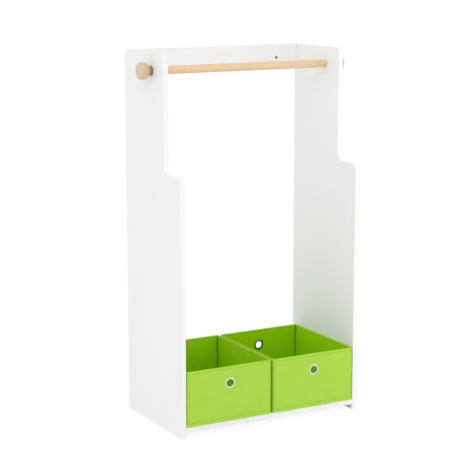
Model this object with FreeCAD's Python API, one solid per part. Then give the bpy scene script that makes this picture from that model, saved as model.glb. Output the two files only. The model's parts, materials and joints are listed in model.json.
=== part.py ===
"""Children's clothes rack with two fabric boxes.

Two stepped side panels carry a back rail, a low shelf and a hanging rod. The rod is clamped between the
panels by two turned knobs on studs. Two open fabric boxes stand on the shelf, each with board stiffeners
sewn into its walls, an eyelet at the front and at the back, and a loose base board.

Millimetres. X runs to the right as seen from the front, Y from front to back, Z up.
The origin is on the floor, midway between the side panels and midway from front to back.
"""
import FreeCAD, Part
import os

V = FreeCAD.Vector

# Side panels
HEIGHT = 1000.0
WIDTH = 550.0               # over the outer faces of the panels
DEPTH = 320.0               # below the step
STEP_HEIGHT = 690.0         # floor to the level run of the step
STEP_RUN = 90.0             # from the lower front edge back to the upper one
STEP_OUTER_RADIUS = 20.0    # convex corner at the front of the step
STEP_INNER_RADIUS = 20.0    # concave corner where the step meets the upper front edge
TOP_CORNER_RADIUS = 15.0    # upper front corner
PANEL_THICK = 15.0
EDGE_CHAMFER = 0.8          # eased arris on the long edges of every board

# Back rail
RAIL_HEIGHT = 70.0
RAIL_THICK = 12.0
FIXING_HOLE_DIA = 7.0       # holes for screwing the rack to a wall
FIXING_HOLE_INSET = 68.0    # from the end of the rail
FIXING_HOLE_DROP = 37.0     # below the top of the rail

# Shelf
SHELF_THICK = 15.0
SHELF_UNDERSIDE = 15.0      # above the floor

# Hanging rod
ROD_DIA = 22.0
ROD_SETBACK = 68.0          # axis behind the upper front edge of the panels
ROD_DROP = 46.0             # axis below the top of the panels

# Knobs
KNOB_HEAD_DIA = 45.0
KNOB_RIM = 14.0             # length of the head's rim
KNOB_CONE = 11.0            # length of the flare from neck to rim
KNOB_NECK_DIA = 25.0
KNOB_NECK = 11.0            # length of the neck, with room for the loop of a bag
KNOB_FACE_EASE = 2.0        # eased outer edge of the head

# Studs and threaded inserts that hold the rod
STUD_DIA = 6.0
STUD_IN_KNOB = 24.0
STUD_IN_ROD = 12.0
STUD_HOLE_PLAY = 0.5        # radial, in the panel
INSERT_DIA = 10.0
INSERT_LENGTH = 13.0

# Dowels
DOWEL_DIA = 6.0
DOWEL_IN_PANEL = 9.5
DOWEL_IN_BOARD = 15.0

# Cam fittings
CAM_DIA = 15.0
CAM_SETBACK = 24.0          # cam axis from the end of its board
CAM_FLOOR = 0.6             # metal under the bolt's head
CAM_RECESS = 0.3            # cam face below the face of the board
CAM_SLOT_PLAY = 0.2         # round the bolt inside the cam
CAM_DRIVER_LENGTH = 8.0     # cross recess for the screwdriver
CAM_DRIVER_WIDTH = 1.4
CAM_DRIVER_DEPTH = 1.6
CAM_BOLT_DIA = 4.0
CAM_BOLT_IN_PANEL = 10.0
CAM_BOLT_HEAD_DIA = 6.0
CAM_BOLT_HEAD = 4.0         # length of the head

# Places of the fittings on the ends of the rail and the shelf
RAIL_FITTING_PITCH = 32.0   # from the cam bolt up to the dowel
SHELF_DOWEL_EDGE = 48.0     # dowel from the front and back edge of the shelf; the cam bolt is midway

# Clearances of fixed pieces in their holes
PIN_PLAY = 0.1              # radial
HOLE_SPARE = 0.6            # depth left at the bottom of a blind hole
CUT_PAST = 1.0              # how far a cut runs past the face that it opens
TINY = 1e-6                 # an edge that spans less than this lies square to an axis

# Fabric boxes
BOX_HEIGHT = 150.0
BOX_SIDE_GAP = 2.0          # to the panel
BOX_MIDDLE_GAP = 6.0        # between the two boxes
BOX_OVERHANG = 3.0          # in front of the front edge of the shelf
BOX_BACK_SETBACK = 20.0     # in front of the back edge of the shelf
WALL_THICK = 3.0
FABRIC_THICK = 0.5
SIDE_SEAM = 6.0             # sewn border beside each stiffener pocket
TOP_SEAM = 9.0              # above it
FOOT_SEAM = 10.0            # and below it
CREASE = 5.0                # sewn fold between the two halves of a side wall
POCKET_PLAY = 0.1           # stiffener to fabric, over the face
POCKET_EDGE_PLAY = 0.4      # stiffener to the seam, and to the eyelet
BASE_FABRIC_THICK = 1.0
BASE_BOARD_THICK = 3.0
BASE_BOARD_PLAY = 1.1       # to the eyelets, so that the board lifts out past them
BASE_BOARD_CORNER = 4.0     # clipped corners

# Eyelets
EYELET_DROP = 46.0          # axis below the top of the box
EYELET_HOLE_DIA = 20.0
EYELET_METAL = 0.6
EYELET_FLANGE = 5.0         # width of the ring outside the wall
EYELET_CROWN = 1.3          # height of the ring
EYELET_SLOPE = 1.8          # width of the ring's sloping rim
EYELET_LIP = 1.4            # width of the lip rolled over the washer
EYELET_LIP_THICK = 0.6
WASHER_WIDTH = 4.2          # beyond the barrel
WASHER_THICK = 0.8

# Places that follow from the sizes above
INNER_X = WIDTH / 2 - PANEL_THICK
FRONT_Y = -DEPTH / 2
BACK_Y = DEPTH / 2
UPPER_FRONT_Y = FRONT_Y + STEP_RUN
ROD_Y = UPPER_FRONT_Y + ROD_SETBACK
ROD_Z = HEIGHT - ROD_DROP
RAIL_MID_Y = BACK_Y - RAIL_THICK / 2
RAIL_MID_Z = HEIGHT - RAIL_HEIGHT / 2
SHELF_MID_Z = SHELF_UNDERSIDE + SHELF_THICK / 2
SHELF_TOP = SHELF_UNDERSIDE + SHELF_THICK
CAM_PAST_AXIS = CAM_BOLT_HEAD_DIA / 2 + CAM_SLOT_PLAY + CAM_FLOOR
BOX_WIDTH = INNER_X - BOX_SIDE_GAP - BOX_MIDDLE_GAP / 2
BOX_X = (BOX_WIDTH + BOX_MIDDLE_GAP) / 2
BOX_FRONT_Y = FRONT_Y - BOX_OVERHANG
BOX_BACK_Y = BACK_Y - BOX_BACK_SETBACK
BOX_MID_Y = (BOX_FRONT_Y + BOX_BACK_Y) / 2
BOX_TOP = SHELF_TOP + BOX_HEIGHT
EYELET_Z = BOX_TOP - EYELET_DROP
BARREL_RADIUS = EYELET_HOLE_DIA / 2 + EYELET_METAL
BASE_BOARD_GAP = WASHER_THICK + EYELET_LIP_THICK + BASE_BOARD_PLAY

RAIL_CAM_PLACES = [(RAIL_MID_Y, RAIL_MID_Z - RAIL_FITTING_PITCH / 2)]
RAIL_DOWEL_PLACES = [(RAIL_MID_Y, RAIL_MID_Z + RAIL_FITTING_PITCH / 2)]
SHELF_CAM_PLACES = [((FRONT_Y + BACK_Y) / 2, SHELF_MID_Z)]
SHELF_DOWEL_PLACES = [(FRONT_Y + SHELF_DOWEL_EDGE, SHELF_MID_Z), (BACK_Y - SHELF_DOWEL_EDGE, SHELF_MID_Z)]
RAIL_CAM_FACE = V(0, 1, 0)      # the cams go in from the back of the rail
SHELF_CAM_FACE = V(0, 0, -1)    # and from the underside of the shelf


def block(low, high):
    """Box from its low corner to its high corner."""
    size = high - low
    return Part.makeBox(size.x, size.y, size.z, low)


def prism(corner, first, second, third):
    """Block spanned by three edges from one corner."""
    outline = [corner, corner + first, corner + first + second, corner + second, corner]
    return Part.Face(Part.makePolygon(outline)).extrude(third)


def rod_x(x_from, x_to, y, z, radius):
    """Cylinder along X."""
    return Part.makeCylinder(radius, x_to - x_from, V(x_from, y, z), V(1, 0, 0))


def turned(profile, axis_point, axis):
    """Solid of revolution from the corners of its profile."""
    return Part.Face(Part.makePolygon(profile + profile[:1])).revolve(axis_point, axis, 360)


def mirrored(shape):
    """The same shape on the other side of the rack."""
    return shape.mirror(V(0, 0, 0), V(1, 0, 0))


def both_ends(shapes):
    """Solids at the left end of the rack, with their mirror images at the right end."""
    return Part.makeCompound(shapes + [mirrored(shape) for shape in shapes])


def long_edges(board):
    """Edges of a board that run along X."""
    return [edge for edge in board.Edges if edge.BoundBox.YLength + edge.BoundBox.ZLength < TINY]


# Side panels

def panel_outline(x):
    """Stepped outline of a side panel in a plane of constant X."""
    def corner(y, z, radius, arriving, leaving):
        """Start, middle and end of the arc that rounds a corner."""
        point = V(x, y, z)
        centre = point - arriving * radius + leaving * radius
        to_corner = (point - centre).normalize()
        return point - arriving * radius, centre + to_corner * radius, point + leaving * radius

    up = V(0, 0, 1)
    back = V(0, 1, 0)
    arcs = [corner(FRONT_Y, STEP_HEIGHT, STEP_OUTER_RADIUS, up, back),
            corner(UPPER_FRONT_Y, STEP_HEIGHT, STEP_INNER_RADIUS, back, up),
            corner(UPPER_FRONT_Y, HEIGHT, TOP_CORNER_RADIUS, up, back)]
    foot_back = V(x, BACK_Y, 0)
    foot_front = V(x, FRONT_Y, 0)
    top_back = V(x, BACK_Y, HEIGHT)
    edges = [Part.makeLine(foot_back, foot_front)]
    last = foot_front
    for start, middle, end in arcs:
        edges.append(Part.makeLine(last, start))
        edges.append(Part.Arc(start, middle, end).toShape())
        last = end
    edges.append(Part.makeLine(last, top_back))
    edges.append(Part.makeLine(top_back, foot_back))
    return Part.Wire(edges)


def left_panel():
    """Left side panel, with the blind holes for the fittings in its inner face."""
    outer_x = -WIDTH / 2
    inner_x = -INNER_X
    mouth_x = inner_x + CUT_PAST
    panel = Part.Face(panel_outline(outer_x)).extrude(V(PANEL_THICK, 0, 0))
    panel = panel.makeChamfer(EDGE_CHAMFER, [edge for edge in panel.Edges if edge.BoundBox.XLength < TINY])
    holes = [rod_x(outer_x - CUT_PAST, mouth_x, ROD_Y, ROD_Z, STUD_DIA / 2 + STUD_HOLE_PLAY)]
    for y, z in RAIL_DOWEL_PLACES + SHELF_DOWEL_PLACES:
        bottom_x = inner_x - DOWEL_IN_PANEL - HOLE_SPARE
        holes.append(rod_x(bottom_x, mouth_x, y, z, DOWEL_DIA / 2 + PIN_PLAY))
    for y, z in RAIL_CAM_PLACES + SHELF_CAM_PLACES:
        bottom_x = inner_x - CAM_BOLT_IN_PANEL - HOLE_SPARE
        holes.append(rod_x(bottom_x, mouth_x, y, z, CAM_BOLT_DIA / 2 + PIN_PLAY))
    return panel.cut(holes)


# Dowels and cam fittings, at the left end of their board

def dowel(y, z):
    """Dowel, part in the panel and part in the board."""
    return rod_x(-INNER_X - DOWEL_IN_PANEL, -INNER_X + DOWEL_IN_BOARD, y, z, DOWEL_DIA / 2)


def cam_bolt(y, z):
    """Cam bolt, screwed into the panel, with its head inside the cam."""
    head_x = -INNER_X + CAM_SETBACK
    shank = rod_x(-INNER_X - CAM_BOLT_IN_PANEL, head_x, y, z, CAM_BOLT_DIA / 2)
    head = rod_x(head_x - CAM_BOLT_HEAD / 2, head_x + CAM_BOLT_HEAD / 2, y, z, CAM_BOLT_HEAD_DIA / 2)
    return shank.fuse(head).removeSplitter()


def cam_lock(y, z, face, board_thick):
    """Cam turned tight: the head came in by the wide mouth and the shank has swept along the narrow slot."""
    axis = V(-INNER_X + CAM_SETBACK, y, z)
    panelwards = V(-1, 0, 0)
    mouth = face.cross(panelwards)
    radius = CAM_DIA / 2
    face_height = board_thick / 2 - CAM_RECESS
    body = Part.makeCylinder(radius, CAM_PAST_AXIS + face_height, axis - face * CAM_PAST_AXIS, face)
    reach = radius + CUT_PAST
    head_half = CAM_BOLT_HEAD_DIA / 2 + CAM_SLOT_PLAY
    shank_half = CAM_BOLT_DIA / 2 + CAM_SLOT_PLAY
    head_room = prism(axis - (panelwards + mouth + face) * head_half, panelwards * 2 * head_half,
                      mouth * (head_half + reach), face * 2 * head_half)
    shank_slot = prism(axis - (mouth + face) * shank_half, panelwards * reach,
                       mouth * (shank_half + reach), face * 2 * shank_half)
    recess = []
    for along, across in ((panelwards, mouth), (mouth, panelwards)):
        corner = axis + face * face_height - along * (CAM_DRIVER_LENGTH / 2) - across * (CAM_DRIVER_WIDTH / 2)
        recess.append(prism(corner, along * CAM_DRIVER_LENGTH, across * CAM_DRIVER_WIDTH,
                            face * -CAM_DRIVER_DEPTH))
    return body.cut([head_room, shank_slot] + recess)


def board_end_cuts(cam_places, dowel_places, face, board_thick):
    """Holes in both ends of a board for its dowels, cam bolts and cams."""
    end_x = -INNER_X
    cuts = []
    for y, z in dowel_places:
        bottom_x = end_x + DOWEL_IN_BOARD + HOLE_SPARE
        cuts.append(rod_x(end_x - CUT_PAST, bottom_x, y, z, DOWEL_DIA / 2 + PIN_PLAY))
    for y, z in cam_places:
        cam_x = end_x + CAM_SETBACK
        cuts.append(rod_x(end_x - CUT_PAST, cam_x, y, z, CAM_BOLT_HEAD_DIA / 2 + PIN_PLAY))
        depth_past_axis = CAM_PAST_AXIS + PIN_PLAY
        bottom = V(cam_x, y, z) - face * depth_past_axis
        length = depth_past_axis + board_thick / 2 + CUT_PAST
        cuts.append(Part.makeCylinder(CAM_DIA / 2 + PIN_PLAY, length, bottom, face))
    return cuts + [mirrored(cut) for cut in cuts]


def top_rail():
    """Back rail, flush with the top and the back of the panels."""
    front_y = BACK_Y - RAIL_THICK
    rail = block(V(-INNER_X, front_y, HEIGHT - RAIL_HEIGHT), V(INNER_X, BACK_Y, HEIGHT))
    rail = rail.makeChamfer(EDGE_CHAMFER, long_edges(rail))
    cuts = board_end_cuts(RAIL_CAM_PLACES, RAIL_DOWEL_PLACES, RAIL_CAM_FACE, RAIL_THICK)
    for side in (-1, 1):
        start = V(side * (INNER_X - FIXING_HOLE_INSET), front_y - CUT_PAST, HEIGHT - FIXING_HOLE_DROP)
        cuts.append(Part.makeCylinder(FIXING_HOLE_DIA / 2, RAIL_THICK + 2 * CUT_PAST, start, V(0, 1, 0)))
    return rail.cut(cuts)


def bottom_shelf():
    """Low shelf, flush with the front and back edges of the panels."""
    shelf = block(V(-INNER_X, FRONT_Y, SHELF_UNDERSIDE), V(INNER_X, BACK_Y, SHELF_TOP))
    shelf = shelf.makeChamfer(EDGE_CHAMFER, long_edges(shelf))
    return shelf.cut(board_end_cuts(SHELF_CAM_PLACES, SHELF_DOWEL_PLACES, SHELF_CAM_FACE, SHELF_THICK))


# Rod, knobs and what joins them through the panels

def hanging_rod():
    """Hanging rod from panel to panel, bored at both ends for the threaded inserts."""
    rod = rod_x(-INNER_X, INNER_X, ROD_Y, ROD_Z, ROD_DIA / 2)
    bore_end = -INNER_X + INSERT_LENGTH + HOLE_SPARE
    bore = rod_x(-INNER_X - CUT_PAST, bore_end, ROD_Y, ROD_Z, INSERT_DIA / 2 + PIN_PLAY)
    return rod.cut([bore, mirrored(bore)])


def rod_insert():
    """Threaded insert in the left end of the rod, bored right through for the stud."""
    end_x = -INNER_X + INSERT_LENGTH
    bore = rod_x(-INNER_X - CUT_PAST, end_x + CUT_PAST, ROD_Y, ROD_Z, STUD_DIA / 2 + PIN_PLAY)
    return rod_x(-INNER_X, end_x, ROD_Y, ROD_Z, INSERT_DIA / 2).cut(bore)


def knob_stud():
    """Stud from the left knob through the panel into the rod."""
    return rod_x(-WIDTH / 2 - STUD_IN_KNOB, -INNER_X + STUD_IN_ROD, ROD_Y, ROD_Z, STUD_DIA / 2)


def rod_knob():
    """Turned knob against the outer face of the left panel: neck, flare and head."""
    base_x = -WIDTH / 2
    neck_x = base_x - KNOB_NECK
    rim_x = neck_x - KNOB_CONE
    face_x = rim_x - KNOB_RIM
    neck_radius = KNOB_NECK_DIA / 2
    head_radius = KNOB_HEAD_DIA / 2

    def at(x, radius):
        """Point at a radius from the axis of the rod."""
        return V(x, ROD_Y, ROD_Z + radius)

    profile = [at(base_x, 0), at(base_x, neck_radius), at(neck_x, neck_radius), at(rim_x, head_radius),
               at(face_x + KNOB_FACE_EASE, head_radius), at(face_x, head_radius - KNOB_FACE_EASE),
               at(face_x, 0)]
    knob = turned(profile, at(0, 0), V(1, 0, 0))
    bore_end = base_x - STUD_IN_KNOB - HOLE_SPARE
    return knob.cut(rod_x(bore_end, base_x + CUT_PAST, ROD_Y, ROD_Z, STUD_DIA / 2 + PIN_PLAY))


# Fabric boxes, made about X = 0 and moved to their places

def stiffened_wall(low, high, pockets, edge_play):
    """Fabric wall with a closed pocket for each stiffener, and the stiffeners that lie in them."""
    wall = block(low, high).cut([block(*pocket) for pocket in pockets])
    boards = [block(pocket_low + edge_play, pocket_high - edge_play) for pocket_low, pocket_high in pockets]
    return wall, boards


def eyelet_bore(radius, outer_y, inwards):
    """Cylinder through a front or back wall on the axis of its eyelet."""
    start = V(0, outer_y - inwards * CUT_PAST, EYELET_Z)
    return Part.makeCylinder(radius, WALL_THICK + WASHER_THICK + 2 * CUT_PAST, start, V(0, inwards, 0))


def end_wall(outer_y, inwards):
    """Front or back wall and its stiffener, both pierced for the eyelet."""
    near_y, far_y = sorted([outer_y, outer_y + inwards * WALL_THICK])
    low = V(-BOX_WIDTH / 2, near_y, SHELF_TOP)
    high = V(BOX_WIDTH / 2, far_y, BOX_TOP)
    pocket = (low + V(SIDE_SEAM, FABRIC_THICK, FOOT_SEAM), high - V(SIDE_SEAM, FABRIC_THICK, TOP_SEAM))
    play = V(POCKET_EDGE_PLAY, POCKET_PLAY, POCKET_EDGE_PLAY)
    wall, boards = stiffened_wall(low, high, [pocket], play)
    hole = eyelet_bore(BARREL_RADIUS + PIN_PLAY, outer_y, inwards)
    board_hole = eyelet_bore(BARREL_RADIUS + POCKET_EDGE_PLAY, outer_y, inwards)
    return wall.cut(hole), boards[0].cut(board_hole)


def side_wall(side):
    """Left or right wall between the end walls, sewn flat at its middle fold, and its two stiffeners."""
    near_x, far_x = sorted([side * BOX_WIDTH / 2, side * (BOX_WIDTH / 2 - WALL_THICK)])
    low = V(near_x, BOX_FRONT_Y + WALL_THICK, SHELF_TOP)
    high = V(far_x, BOX_BACK_Y - WALL_THICK, BOX_TOP)
    play = V(POCKET_PLAY, POCKET_EDGE_PLAY, POCKET_EDGE_PLAY)
    pocket_low = low + V(FABRIC_THICK, SIDE_SEAM, FOOT_SEAM)
    pocket_high = high - V(FABRIC_THICK, SIDE_SEAM, TOP_SEAM)
    halves = [(pocket_low, V(pocket_high.x, BOX_MID_Y - CREASE / 2, pocket_high.z)),
              (V(pocket_low.x, BOX_MID_Y + CREASE / 2, pocket_low.z), pocket_high)]
    wall, boards = stiffened_wall(low, high, halves, play)
    return wall, Part.makeCompound(boards)


def base_fabric():
    """Fabric base inside the foot of the walls."""
    half_width = BOX_WIDTH / 2 - WALL_THICK
    return block(V(-half_width, BOX_FRONT_Y + WALL_THICK, SHELF_TOP),
                 V(half_width, BOX_BACK_Y - WALL_THICK, SHELF_TOP + BASE_FABRIC_THICK))


def base_board():
    """Loose board that lies on the fabric base."""
    inset = WALL_THICK + BASE_BOARD_GAP
    half_width = BOX_WIDTH / 2 - inset
    underside = SHELF_TOP + BASE_FABRIC_THICK
    board = block(V(-half_width, BOX_FRONT_Y + inset, underside),
                  V(half_width, BOX_BACK_Y - inset, underside + BASE_BOARD_THICK))
    corners = [edge for edge in board.Edges if edge.BoundBox.ZLength > BASE_BOARD_THICK / 2]
    return board.makeChamfer(BASE_BOARD_CORNER, corners)


def eyelet(outer_y, inwards):
    """Eyelet: a raised ring outside the wall, a barrel through it and a lip rolled over the washer."""
    bore_radius = EYELET_HOLE_DIA / 2
    ring_radius = bore_radius + EYELET_FLANGE
    washer_depth = WALL_THICK + WASHER_THICK
    lip_depth = washer_depth + EYELET_LIP_THICK

    def at(radius, depth):
        """Point at a radius from the eyelet's axis and a depth behind the outer face of the wall."""
        return V(radius, outer_y + inwards * depth, EYELET_Z)

    profile = [at(bore_radius, -EYELET_CROWN), at(ring_radius - EYELET_SLOPE, -EYELET_CROWN),
               at(ring_radius, 0), at(BARREL_RADIUS, 0), at(BARREL_RADIUS, washer_depth),
               at(BARREL_RADIUS + EYELET_LIP, washer_depth), at(bore_radius, lip_depth)]
    return turned(profile, at(0, 0), V(0, 1, 0))


def eyelet_washer(outer_y, inwards):
    """Washer on the inner face of the wall, under the eyelet's lip."""
    start = V(0, outer_y + inwards * WALL_THICK, EYELET_Z)
    disc = Part.makeCylinder(BARREL_RADIUS + WASHER_WIDTH, WASHER_THICK, start, V(0, inwards, 0))
    return disc.cut(eyelet_bore(BARREL_RADIUS + PIN_PLAY, outer_y, inwards))


def fabric_box():
    """Every piece of one fabric box, by name."""
    ends = [(BOX_FRONT_Y, 1), (BOX_BACK_Y, -1)]
    front_wall, front_stiffener = end_wall(*ends[0])
    back_wall, back_stiffener = end_wall(*ends[1])
    left_wall, left_stiffeners = side_wall(-1)
    right_wall, right_stiffeners = side_wall(1)
    return {
        "front_wall": front_wall,
        "back_wall": back_wall,
        "left_wall": left_wall,
        "right_wall": right_wall,
        "front_stiffener": front_stiffener,
        "back_stiffener": back_stiffener,
        "left_stiffeners": left_stiffeners,
        "right_stiffeners": right_stiffeners,
        "base_fabric": base_fabric(),
        "base_board": base_board(),
        "eyelets": Part.makeCompound([eyelet(*end) for end in ends]),
        "eyelet_washers": Part.makeCompound([eyelet_washer(*end) for end in ends]),
    }


def rack_nodes():
    """Every piece of the rack itself, by name."""
    panel = left_panel()
    rail_cams = [cam_lock(*place, RAIL_CAM_FACE, RAIL_THICK) for place in RAIL_CAM_PLACES]
    shelf_cams = [cam_lock(*place, SHELF_CAM_FACE, SHELF_THICK) for place in SHELF_CAM_PLACES]
    return {
        "left_side_panel": panel,
        "right_side_panel": mirrored(panel),
        "top_rail": top_rail(),
        "bottom_shelf": bottom_shelf(),
        "hanging_rod": hanging_rod(),
        "rod_knobs": both_ends([rod_knob()]),
        "knob_studs": both_ends([knob_stud()]),
        "rod_inserts": both_ends([rod_insert()]),
        "rail_dowels": both_ends([dowel(*place) for place in RAIL_DOWEL_PLACES]),
        "rail_cam_bolts": both_ends([cam_bolt(*place) for place in RAIL_CAM_PLACES]),
        "rail_cam_locks": both_ends(rail_cams),
        "shelf_dowels": both_ends([dowel(*place) for place in SHELF_DOWEL_PLACES]),
        "shelf_cam_bolts": both_ends([cam_bolt(*place) for place in SHELF_CAM_PLACES]),
        "shelf_cam_locks": both_ends(shelf_cams),
    }


def box_nodes():
    """The pieces of both boxes, each in its place on the shelf."""
    nodes = {}
    for side, x in (("left", -BOX_X), ("right", BOX_X)):
        for name, shape in fabric_box().items():
            shape.translate(V(x, 0, 0))
            nodes[f"{side}_box_{name}"] = shape
    return nodes


os.makedirs("parts", exist_ok=True)
for node, shape in {**rack_nodes(), **box_nodes()}.items():
    shape.exportStep(f"parts/{node}.step")
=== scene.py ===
"""Looks of a children's clothes rack with two fabric boxes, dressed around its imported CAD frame.

Metres, in the frame of the CAD model: X to the right as seen from the front, Y from front to back, Z up.
"""
import json
import math

import bmesh
import bpy
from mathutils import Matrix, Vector, noise


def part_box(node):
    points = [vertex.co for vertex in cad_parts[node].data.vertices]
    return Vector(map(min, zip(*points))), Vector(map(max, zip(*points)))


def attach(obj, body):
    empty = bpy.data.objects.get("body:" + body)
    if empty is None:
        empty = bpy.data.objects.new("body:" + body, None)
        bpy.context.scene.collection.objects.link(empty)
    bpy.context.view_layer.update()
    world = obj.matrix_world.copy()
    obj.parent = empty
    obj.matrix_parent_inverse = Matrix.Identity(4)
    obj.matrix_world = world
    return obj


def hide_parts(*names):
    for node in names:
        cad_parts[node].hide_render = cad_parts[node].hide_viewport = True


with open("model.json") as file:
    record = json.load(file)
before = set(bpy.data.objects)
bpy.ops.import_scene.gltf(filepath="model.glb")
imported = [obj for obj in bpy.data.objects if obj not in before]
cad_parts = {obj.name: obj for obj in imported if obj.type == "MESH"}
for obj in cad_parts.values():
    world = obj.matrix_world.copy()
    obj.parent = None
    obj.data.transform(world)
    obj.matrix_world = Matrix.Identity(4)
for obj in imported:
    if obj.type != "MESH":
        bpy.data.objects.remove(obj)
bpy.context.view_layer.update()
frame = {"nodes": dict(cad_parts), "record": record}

MM = 0.001
X_AXIS = Vector((1, 0, 0))
Y_AXIS = Vector((0, 1, 0))
Z_AXIS = Vector((0, 0, 1))


def srgb(red, green, blue):
    """Linear colour from the values 0 to 255 that a picture shows."""
    def linear(value):
        """One channel."""
        value /= 255
        return value / 12.92 if value <= 0.04045 else ((value + 0.055) / 1.055) ** 2.4
    return (linear(red), linear(green), linear(blue), 1.0)


# Camera at the photograph's viewing angle
CAMERA_PLACE = (-1.9738, -3.4926, 1.2601)
CAMERA_YAW = 29.300         # degrees to the left of straight in front, where the camera stands
CAMERA_PITCH = 10.277       # degrees, downwards
CAMERA_SENSOR = 36.0        # millimetres
CAMERA_LENS = 114.08        # millimetres
CAMERA_SHIFT = (-0.0074, -0.03)
CAMERA_REACH = 200.0        # past the far edge of the floor

# Light and floor
WHITE = (1.0, 1.0, 1.0, 1.0)
WORLD_LIGHT = 0.90          # brightness of the white surroundings, as they light the object
LAMP_AIM = (0.0, 0.0, 0.40)
LAMPS = {                   # place, diameter and watts
    "key": ((1.1, -1.1, 0.6), 0.8, 2.3),
    "fill": ((-2.3, -2.5, 3.4), 2.0, 24.0),
}
FLOOR_SIZE = 60.0
FLOOR_PALE = (0.92, 0.92, 0.92, 1.0)    # as it lights the object
FLOOR_GLOW = 0.90           # brightness of the seen floor in full shadow
FLOOR_SHADED = (0.13, 0.13, 0.13, 1.0)  # what light adds to the seen floor

# White board
PAINT_TONES = (srgb(244, 244, 244), srgb(245, 245, 245))
PAINT_CLOUD = 220.0 * MM    # patches of either tone
PAINT_SMEAR = 9.0 * MM      # patches of more and less gloss
PAINT_PEEL = 1.4 * MM       # bumps of the roller texture
PAINT_ARRIS = 1.2 * MM      # softening of sharp edges
RAW_RIM = 0.1 * MM          # raw board that shows round a screw hole
# raw board, set darker than it is: painted shade inside the holes
RAW_BOARD_AND_SHADE = srgb(96, 84, 72)

# Beech, with its grain along X
PITH_FORWARD = 22.0 * MM    # middle of the growth rings, in front of the rod's axis
PITH_BELOW = 48.0 * MM      # and below it
RING_SHARE = 0.32           # of the growth rings in the tone; the rest is fibres
RING_STRETCH = (0.2, 1, 1)
FIBRE_WIDE = 1.0 * MM
FIBRE_STRETCH = (0.03, 1, 1)
FLECK_WIDE = 1.5 * MM
FLECK_STRETCH = (0.12, 1, 1)
FLECK_TONE = srgb(190, 146, 100)
PORE_WIDE = 0.7 * MM
END_GRAIN = srgb(219, 201, 178)

# Fabric, thread, metal and pressboard
PRESS_PITCH = 2.4 * MM      # wave length of the lattice of pressed points
PRESS_SHARE = 0.15          # of the pressed tone in such a point
MATTED_SHARE = 0.22         # of the worn tone on a tuft of fibres
TUFT_WIDE = 0.5 * MM
FABRIC_CLOUD = 30.0 * MM    # patches of either tone
TWIST_WIDE = 0.5 * MM
POLISH_WIDE = 0.8 * MM
POLISH_STRETCH = (1, 1, 0.15)
PULP_WIDE = 2.5 * MM

# Turned pieces
TURNING_STEPS = 96
ROD_EASE = 0.8 * MM         # rounding of the rod's ends
ROD_EASE_STEPS = 4
KNOB_NECK_RADIUS = 12.5 * MM
KNOB_NECK_EASE = 0.5 * MM   # chamfer where the neck meets the panel
KNOB_NECK_WAIST = 0.3 * MM  # narrowing halfway along the neck
KNOB_NECK_SHADE = (2.0 * MM, 14.0 * MM)  # painted shade on the neck: off the panel, from the darkest tone to plain wood
KNOB_CONE_LENGTH = 11.0 * MM
KNOB_CONE_SWELL = 0.9       # power of the sine that the cone swells by
KNOB_CONE_STEPS = 14
KNOB_RIM_LENGTH = 14.0 * MM
KNOB_FACE_ROUND = 3.2 * MM
KNOB_FACE_LEAN = 8          # degrees of the rounding that are left where the dome begins
KNOB_FACE_STEPS = 8
KNOB_FACE_DOME = 0.6 * MM
KNOB_DOME_FALL = 0.4        # share of the dome's height that is lost halfway out

# Sewn walls of the boxes
TOP_SEAM = 7.2 * MM         # stitching below the top edge
FOOT_SEAM = 9.2 * MM        # stitching above the bottom edge
SIDE_SEAM = 5.4 * MM        # stitching from the outer face of the next wall
SEAM_DEEP = 0.60 * MM       # top and foot seams, outside
LINING_SEAM_DEEP = 0.95 * MM    # and inside
SIDE_SEAM_DEEP = 0.15 * MM
HEM_RISE = 1.2 * MM         # from the stitching to the full thickness, on the side of the edge
PANEL_RISE = 4.0 * MM       # and on the side of the stiffener, outside
LINING_RISE = 2.2 * MM      # and inside
HEM_ROLL = 0.5 * MM         # extra thickness of the fold inside, between the stitching and the top edge
CREASE_WIDE = 2.4 * MM
CREASE_DEEP = 1.15 * MM
EDGE_ROUND = 1.5 * MM       # rounding of the top and bottom edges
EDGE_THIN = 0.3             # share of the thickness that is left at the very edge
CORNER_OUTER = 6.5 * MM     # radius of the upright corners outside
CORNER_INNER = 0.8 * MM     # and inside
CORNER_DEEP = 1.45 * MM     # joint between two walls, inside the corner
CORNER_WIDE = 3.4 * MM
CORNER_SHADE_WIDE = 3.4 * MM        # strip of painted shade on each side of the joint, inside the corner
PUFF = 0.30 * MM            # fabric standing off its stiffener in the middle of a wall
RIPPLE = 0.22 * MM          # shallow wrinkles
RIPPLE_WIDE = 42.0 * MM
RIPPLE_TALL = 75.0 * MM
OUTER_SEED = 7.3            # places in the noise, so that the two skins ripple differently
LINING_SEED = 19.1
LOOSE_RISE = 12.0 * MM      # from a seam to fabric that is free to puff and ripple
CALM_REACH = 20.0 * MM      # round an eyelet the fabric is held flat

# Mesh lines of the sewn walls, and what the faces between them are made of
WALL_STEP = 7.0 * MM        # widest mesh step
CORNER_SHARES = (0.0, 0.12, 0.26, 0.42, 0.6, 0.8)  # of the way from the diagonal to the straight wall
EDGE_STATIONS = (0.0, 0.15, 0.4, 0.8, 1.5)  # millimetres from an edge
CREASE_STATIONS = (-2.4, -1.6, -0.9, -0.4, 0.0, 0.4, 0.9, 1.6, 2.4)  # millimetres from a fold
# Millimetres from a seam, positive towards its edge
SEAM_STATIONS = (-4.0, -2.6, -1.6, -1.1, -0.7, -0.35, 0.0, 0.35, 0.7, 1.1, 1.6)
OUTSIDE, INSIDE, HEMMED, SHADED_CORNER = range(4)  # places in the sleeve's list of materials
SHARP_DEGREES = 40.0        # edges that are bent by more stay sharp

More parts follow.
